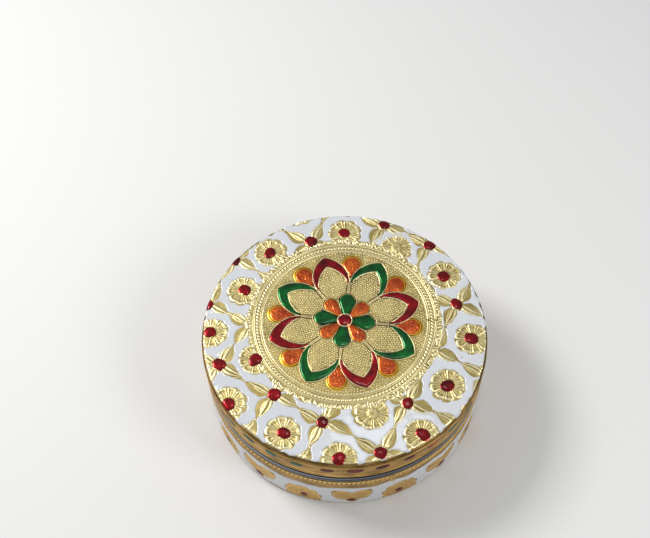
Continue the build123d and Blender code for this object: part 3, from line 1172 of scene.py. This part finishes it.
def makeLidBand():
    bm = bmesh.new()
    bottom, top, radius = lid["bandBottom"], ground - band["topDrop"], foilRadius
    profile = [
        (radius - 1.0, bottom + 0.5), (radius - 0.9, bottom + 0.05), (radius - 0.2, bottom),
        (radius + 0.2, bottom + 0.25), (radius + 0.3, bottom + 0.7), (radius + 0.05, bottom + 1.2),
        (radius - 0.12, bottom + 1.5), (radius + 0.05, bottom + 1.85), (radius + 0.02, bottom + 4),
        (radius + 0.02, top - 5.4), (radius + 0.1, top - 4.9), (radius - 0.25, top - 4.5),
        (radius + 0.2, top - 4.0), (radius + 0.2, top - 3.6), (radius - 0.3, top - 3.1),
        (radius + 0.25, top - 2.6), (radius - 0.2, top - 2.1), (radius + 0.25, top - 1.5),
        (radius - 0.1, top - 1.0), (radius - 0.05, top - 0.4), (radius - 0.2, top),
        (radius - 1.2, top + 0.1),
    ]

    def ripple(angle, height):
        return 0.14 * roundWobble(20, angle, height * 2.2, 2.2, 8.0)
    rollStrip(bm, profile, 3, range(4, len(profile) - 3), ripple)
    finishPiece(
        bm, "gilt_lid_strip", "lid", "side_gilt", sideFoil, ["lid_band"], facing=outwards, paintedLight=bandShadeAndPatches
    )


def makeOvals():
    rng = random.Random(31)
    colours = [
        ("green", sideGreen, "green_enamel"), ("red", sideRed, "red_enamel"),
        ("orange", sideOrange, "orange_enamel"),
    ]
    meshes = [bmesh.new() for colour in colours]
    spacing = fullTurn * foilRadius / band["ovals"]
    first = math.radians(band["firstAngle"] + 90) * foilRadius
    for k in range(band["ovals"]):
        bm = meshes[k // band["run"] % len(colours)]
        along = first + (k + 0.5) * spacing + rng.uniform(-0.8, 0.8)
        lean, size = rng.uniform(-0.12, 0.22), rng.uniform(0.85, 1.1)
        seed = rng.uniform(0, 40)

        def place(u, w):
            angle = w * fullTurn
            edge = 1 + 0.14 * wobble(math.cos(angle) * 1.3, math.sin(angle) * 1.3, 1.0, seed)
            x = u * edge * size * band["ovalLength"] * math.cos(angle)
            z = u * edge * size * band["ovalWidth"] * math.sin(angle)
            rise = 0.28 * math.sqrt(max(1 - u ** 3, 0)) - 0.03 if u < 0.99 else -0.1
            return onWall(along + x - lean * z, band["ovalHeight"] + z + lean * x, rise)
        sheet(bm, 6, 22, place)
    for bm, (colour, material, slot) in zip(meshes, colours):
        replaced = [f"band_{colour}_ovals"]
        finishPiece(bm, f"{colour}_ovals", "lid", slot, material, replaced, facing=outwards)


# Gilt strip round the base: rope border, embossed rosettes and leaves, and its lapped seam

skirt = {
    "ropeHeight": 3.4,
    "ropeStrands": 190,
    "ropeStrand": (3.4, 2.1, 0.42),  # length, width and height
    "ropeLean": Vector((0.55, 0.83)),
    "motifs": 9,
    "motifHeight": 6.6,
    "firstMotif": math.radians(13 + 90),
    "rosetteRadius": 10.2,
    "leafLength": 14.0,
    "leafWidth": 5.2,
    "leafLean": math.radians(40),
    "enamelTop": 9.2,  # below the wrap's top edge
    "dotRadius": 2.5,
    "lapAngle": math.radians(-71 + 90),
    "lapWidth": 3.2,
}
motifPitch = fullTurn * foilRadius / skirt["motifs"]
firstMotif = skirt["firstMotif"] * foilRadius


def makeWrap():
    bm = bmesh.new()
    bottom, top, radius = base["wrapBottom"], base["wrapTop"], foilRadius
    rope = top - skirt["ropeHeight"]
    profile = [
        (radius - 0.9, bottom + 0.3), (radius - 0.5, bottom), (radius + 0.1, bottom + 0.1),
        (radius + 0.25, bottom + 0.5), (radius + 0.05, bottom + 1.0), (radius, bottom + 2.0),
        (radius, rope - 0.9), (radius + 0.12, rope - 0.45), (radius + 0.3, rope - 0.2),
        (radius + 0.12, rope + 0.05), (radius - 0.15, rope + 0.3), (radius - 0.15, top - 0.6),
        (radius + 0.1, top - 0.35), (radius + 0.28, top - 0.15), (radius, top),
        (radius - 0.9, top - 0.05),
    ]

    def ripple(angle, height):
        return 0.05 * roundWobble(20, angle, height, 2.2, 3.0)
    rollStrip(bm, profile, 2, range(3, 10), ripple)
    for k in range(skirt["ropeStrands"]):
        along = k * fullTurn * foilRadius / skirt["ropeStrands"]
        spot = Vector((along, top - skirt["ropeHeight"] / 2 - 0.05))
        strand(bm, spot, skirt["ropeLean"], skirt["ropeStrand"], -0.2, onWall)
    finishPiece(
        bm, "gilt_base_strip", "base", "side_gilt", sideFoil, ["base_wrap"], facing=outwards, paintedLight=0.0
    )


def makeLapSeam():
    # the strip's end laps over its start and is pressed down, a little crumpled
    bm = bmesh.new()
    start = skirt["lapAngle"] * foilRadius
    low, high = base["wrapBottom"] + 12, base["wrapTop"] - 0.3

    def place(u, w):
        height = low + w * (high - low)
        raw = 0.5 * wobble(0.0, height, 2.5, 1.0)
        along = start + (u - 0.5) * skirt["lapWidth"] + raw
        rise = 0.16 * ramp(u, 0, 0.25) * (1 - ramp(u, 0.8, 1)) + 0.25 * bump(u, 0.85, 0.1)
        rise += 0.12 * wobble(along, height, 1.0, 4.0) * math.sin(math.pi * u)
        overRope = 0.2 if height > high - 3.3 else 0
        return onWall(along, height, min(rise - 0.04 + overRope, 0.45))
    sheet(bm, 14, 40, place)
    finishPiece(bm, "gilt_lap_seam", "base", "side_gilt", sideFoil, facing=outwards, paintedLight=0.1)


def wallTrim(along, height, rise):
    # keeps an embossed motif above the strip's bottom edge
    low = base["wrapBottom"] + 1.1
    if height < low:
        return onWall(along, low, -buried)
    return onWall(along, height, rise)


def wallLeafHalfWidth(share):
    return skirt["leafWidth"] * max(math.sin(math.pi * share ** 0.8), 0) ** 0.6


def makeWallMotifs():
    bm = bmesh.new()
    petals = trellis["petals"]
    for k in range(skirt["motifs"]):
        middle = firstMotif + k * motifPitch

        def place(u, w):
            angle = w * fullTurn
            radius = u * rosetteEdge(angle, skirt["rosetteRadius"], petals)
            rise = petalRelief(angle, u, petals, 0.9) * 0.55
            x, z = radius * math.sin(angle), radius * math.cos(angle)
            return wallTrim(middle + x, skirt["motifHeight"] + z, rise)
        sheet(bm, 16, petals * 10, place)
        for lean in (-skirt["leafLean"], skirt["leafLean"]):
            knot = middle + motifPitch / 2

            def leafPlace(u, w):
                across = 2 * w - 1
                half = wallLeafHalfWidth(u) + 0.05
                distance = 1 + u * skirt["leafLength"]
                x = distance * math.sin(lean) + across * half * math.cos(lean)
                z = distance * math.cos(lean) - across * half * math.sin(lean)
                flutes = 0.06 * math.cos(math.pi * 5 * across)
                rise = 0.08 + 0.25 * math.sqrt(max(1 - across ** 2, 0)) + flutes
                fall = ramp(abs(across), 0.85, 1)
                return wallTrim(knot + x, skirt["motifHeight"] + z, rise * (1 - fall) - buried * fall)
            sheet(bm, 14, 12, leafPlace)
    finishPiece(bm, "gilt_wall_motifs", "base", "side_gilt", sideFoil, facing=outwards, paintedLight=0.1)


def wallWobble(along, height, scale, seed):
    # unevenness of the wall, which meets itself in front
    return roundWobble(foilRadius, along / foilRadius, height, scale, seed)


def wallGap(along, height):
    # distance from bare gilt on the base's wall
    offset = (along - firstMotif) / motifPitch
    x = (offset - round(offset)) * motifPitch
    z = height - skirt["motifHeight"]
    petalEnd = rosetteEdge(math.atan2(x, z), skirt["rosetteRadius"], trellis["petals"])
    gap = math.hypot(x, z) - petalEnd - 0.3
    side = abs(x) - motifPitch / 2
    for lean in (-skirt["leafLean"], skirt["leafLean"]):
        run = side * math.sin(lean) + z * math.cos(lean)
        off = side * math.cos(lean) - z * math.sin(lean)
        share = min(max((run - 1) / skirt["leafLength"], 0), 1)
        half = wallLeafHalfWidth(share) + 0.4
        beside = abs(off) - half
        past = max(run - 1 - skirt["leafLength"], 1 - run, 0)
        gap = min(gap, math.hypot(max(beside, 0), past) if past or beside > 0 else beside)
    gap = min(gap, math.hypot(side, z) - skirt["dotRadius"] - 1.0)
    top = base["wrapTop"] - skirt["enamelTop"] + 1.9 * wallWobble(along, 0.0, 9.0, 6.0)
    gap = min(gap, top - height, height - base["wrapBottom"] - 0.6)
    return gap + 0.4 * wallWobble(along, height, 3.0, 2.2) + 0.2 * wallWobble(along, height, 1.1, 5.5)


def makeBaseEnamel():
    bm = bmesh.new()
    low, high = base["wrapBottom"] + 0.2, base["wrapTop"] - skirt["enamelTop"] + 2
    length = fullTurn * foilRadius

    def place(u, w):
        along, height = w * length, low + u * (high - low)
        wrapped = wallGap(along, height)
        rise = puddle(wrapped, 0.8, 0.3)
        if wrapped > 0:
            rise += 0.04 * wallWobble(along, height, 4.5, 4.0) * ramp(wrapped, 0, 1.5)
        return (along, height, rise)
    sheet(bm, 54, 1180, place)
    layPuddle(bm, lambda along, height, rise: onWall(along, height, rise + 0.02))
    replaced = ["base_white_enamel"]
    finishPiece(bm, "base_white_puddles", "base", "white_enamel", whiteEnamel, replaced, facing=outwards)


def makeBaseDots():
    bm = bmesh.new()
    rng = random.Random(17)

    def place(along, height, rise):
        return onWall(along, height, min(rise, lid["relief"] - 0.01))
    for k in range(2 * skirt["motifs"]):
        along = firstMotif + k * motifPitch / 2 + rng.uniform(-0.8, 0.8)
        spot = Vector((along, skirt["motifHeight"]))
        blob(bm, place, spot, skirt["dotRadius"] * rng.uniform(0.9, 1.12), 0.2, 0.26, rng)
    finishPiece(bm, "base_red_drops", "base", "red_enamel", sideRed, ["base_red_dots"], facing=outwards)


makeLidBand()
makeOvals()
makeWrap()
makeLapSeam()
makeWallMotifs()
makeBaseEnamel()
makeBaseDots()

# Steel base pan and lid pan, spun

pan = {"radius": foilRadius - 0.5, "thickness": 0.6, "corner": 1.6, "bead": 0.68, "hem": 4.0}


def makeBasePan():
    # from the middle of the underside up the wall, over the bead and the neck's hem, and back inside
    bm = bmesh.new()
    steel, thickness, corner = pan["radius"], pan["thickness"], pan["corner"]
    neck, inner = steel - thickness - 0.3, steel - thickness
    wallTop, neckTop = base["wrapTop"], base["neckTop"]
    hemEnd = neckTop - pan["hem"]
    profile = [(0.0, 0.0), (steel - corner, 0.0)]
    for k in range(1, 7):
        turn = k * math.pi / 12
        profile.append((steel - corner + corner * math.sin(turn), corner - corner * math.cos(turn)))
    profile.append((steel, wallTop - 0.3))
    for k in range(17):
        share = k / 16
        swell = pan["bead"] * math.sqrt(max(1 - (2 * share - 1) ** 4, 0))
        profile.append((steel + swell, wallTop + share * (beadTop - wallTop)))
    profile += [
        (neck + 0.25, beadTop), (neck, beadTop + 0.3), (neck, neckTop - 0.5),
        (neck - 0.15, neckTop - 0.12), (neck - 0.6, neckTop), (neck - 1.05, neckTop - 0.12),
        (neck - 1.2, neckTop - 0.5), (neck - 1.2, hemEnd), (neck - 0.6, hemEnd - 0.4),
        (neck - 0.6, beadTop - 0.2), (inner, beadTop - 0.9),
    ]
    for k in range(7):
        turn = k * math.pi / 12
        height = thickness + corner - corner * math.sin(turn)
        profile.append((inner - corner + corner * math.cos(turn), height))
    profile.append((0.0, thickness))
    lathe(bm, profile)
    finishPiece(bm, "steel_pan", "base", "steel", bandSteel, ["base_pan"], closed=True, sharp=35)


def makeLidPan():
    bm = bmesh.new()
    steel, inner = pan["radius"], pan["radius"] - pan["thickness"]
    bottom, top = lid["bandBottom"], lid["panTop"]
    ceiling = top - pan["thickness"]
    lathe(bm, [
        (0.0, top), (steel - 1, top), (steel - 0.3, top - 0.3), (steel, top - 1),
        (steel, bottom + 0.1), (steel - 0.3, bottom - 0.05), (inner, bottom + 0.1),
        (inner, ceiling - 1.4), (inner - 0.4, ceiling - 0.4), (inner - 1.4, ceiling), (0.0, ceiling),
    ])
    finishPiece(bm, "steel_lid", "lid", "steel", bandSteel, ["lid_pan"], closed=True, sharp=35)


makeBasePan()
makeLidPan()

# Stage: pale floor, soft lamps and the camera at the photograph's angle

stage = {
    "floorColour": (0.78, 0.77, 0.75, 1.0),
    "floorSize": 40.0,
    "worldStrength": 0.42,
    "worldColour": (0.93, 0.96, 1.0, 1.0),
    "aim": Vector((0, 0, 0.05)),
    "lamps": {  # power, size and place
        "key": (6.5, (0.35, 0.3), (-0.6, 0.3, 0.75)),
        "fill": (2.4, (0.3, 0.3), (0.6, -0.35, 0.6)),
        "glint": (0.3, (0.16, 0.1), (0.06, 0.36, 1.05)),
    },
}
camera = {
    "focalPixels": 1000.0,
    "sensorWidth": 36,
    "pictureWidth": 650,
    "distance": 6.989,  # in lid radii, from the middle of the lid's top
    "elevation": math.radians(60.527),
    "right": 19.157,  # where that middle lands, in pixels from the picture's centre
    "down": 61.628,
}


def makeStage():
    bm = bmesh.new()
    bmesh.ops.create_grid(bm, x_segments=2, y_segments=2, size=stage["floorSize"])
    mesh = bpy.data.meshes.new("floor")
    bm.to_mesh(mesh)
    bm.free()
    floor = bpy.data.objects.new("floor", mesh)
    bpy.context.scene.collection.objects.link(floor)
    paper = Finish("pale floor", Roughness=0.75)
    paper.feed("Base Color", stage["floorColour"])
    mesh.materials.append(paper.material)


def addLamp(name, power, size, place):
    light = bpy.data.lights.new(name, "AREA")
    light.energy = power
    light.shape = "RECTANGLE"
    light.size, light.size_y = size
    lamp = bpy.data.objects.new(name, light)
    lamp.location = place
    lamp.rotation_euler = (stage["aim"] - Vector(place)).to_track_quat("-Z", "Y").to_euler()
    bpy.context.scene.collection.objects.link(lamp)


def makeCamera():
    # it looks a little past the lid, so that the box stands where it does in the photograph
    lens = bpy.data.cameras.new("camera")
    lens.sensor_width = camera["sensorWidth"]
    lens.lens = camera["focalPixels"] * camera["sensorWidth"] / camera["pictureWidth"]
    lens.clip_start = 0.01
    viewer = bpy.data.objects.new("camera", lens)
    rise = camera["elevation"]
    back = Vector((0, -math.cos(rise), math.sin(rise)))
    right = Vector((1, 0, 0))
    up = back.cross(right)
    lidRadius = lid["bandRadius"] * millimetre
    target = Vector((0, 0, ground * millimetre))
    turnX = math.atan(camera["right"] / camera["focalPixels"])
    turnY = math.atan(camera["down"] / camera["focalPixels"])
    ahead = -back * math.cos(turnX) - right * math.sin(turnX)
    across = right * math.cos(turnX) - back * math.sin(turnX)
    view = ahead * math.cos(turnY) + up * math.sin(turnY)
    top = up * math.cos(turnY) - ahead * math.sin(turnY)
    place = target + back * camera["distance"] * lidRadius
    facing = Matrix((across, top, -view)).transposed().to_4x4()
    viewer.matrix_world = Matrix.Translation(place) @ facing
    bpy.context.scene.collection.objects.link(viewer)
    bpy.context.scene.camera = viewer


def makeWorld():
    world = bpy.data.worlds.new("studio")
    world.use_nodes = True
    sky = world.node_tree.nodes["Background"]
    sky.inputs["Color"].default_value = stage["worldColour"]
    sky.inputs["Strength"].default_value = stage["worldStrength"]
    bpy.context.scene.world = world


makeStage()
makeWorld()
for lampName, (power, size, place) in stage["lamps"].items():
    addLamp(lampName, power, size, place)
makeCamera()
bpy.context.scene.view_settings.view_transform = "Standard"
print("stage ready")
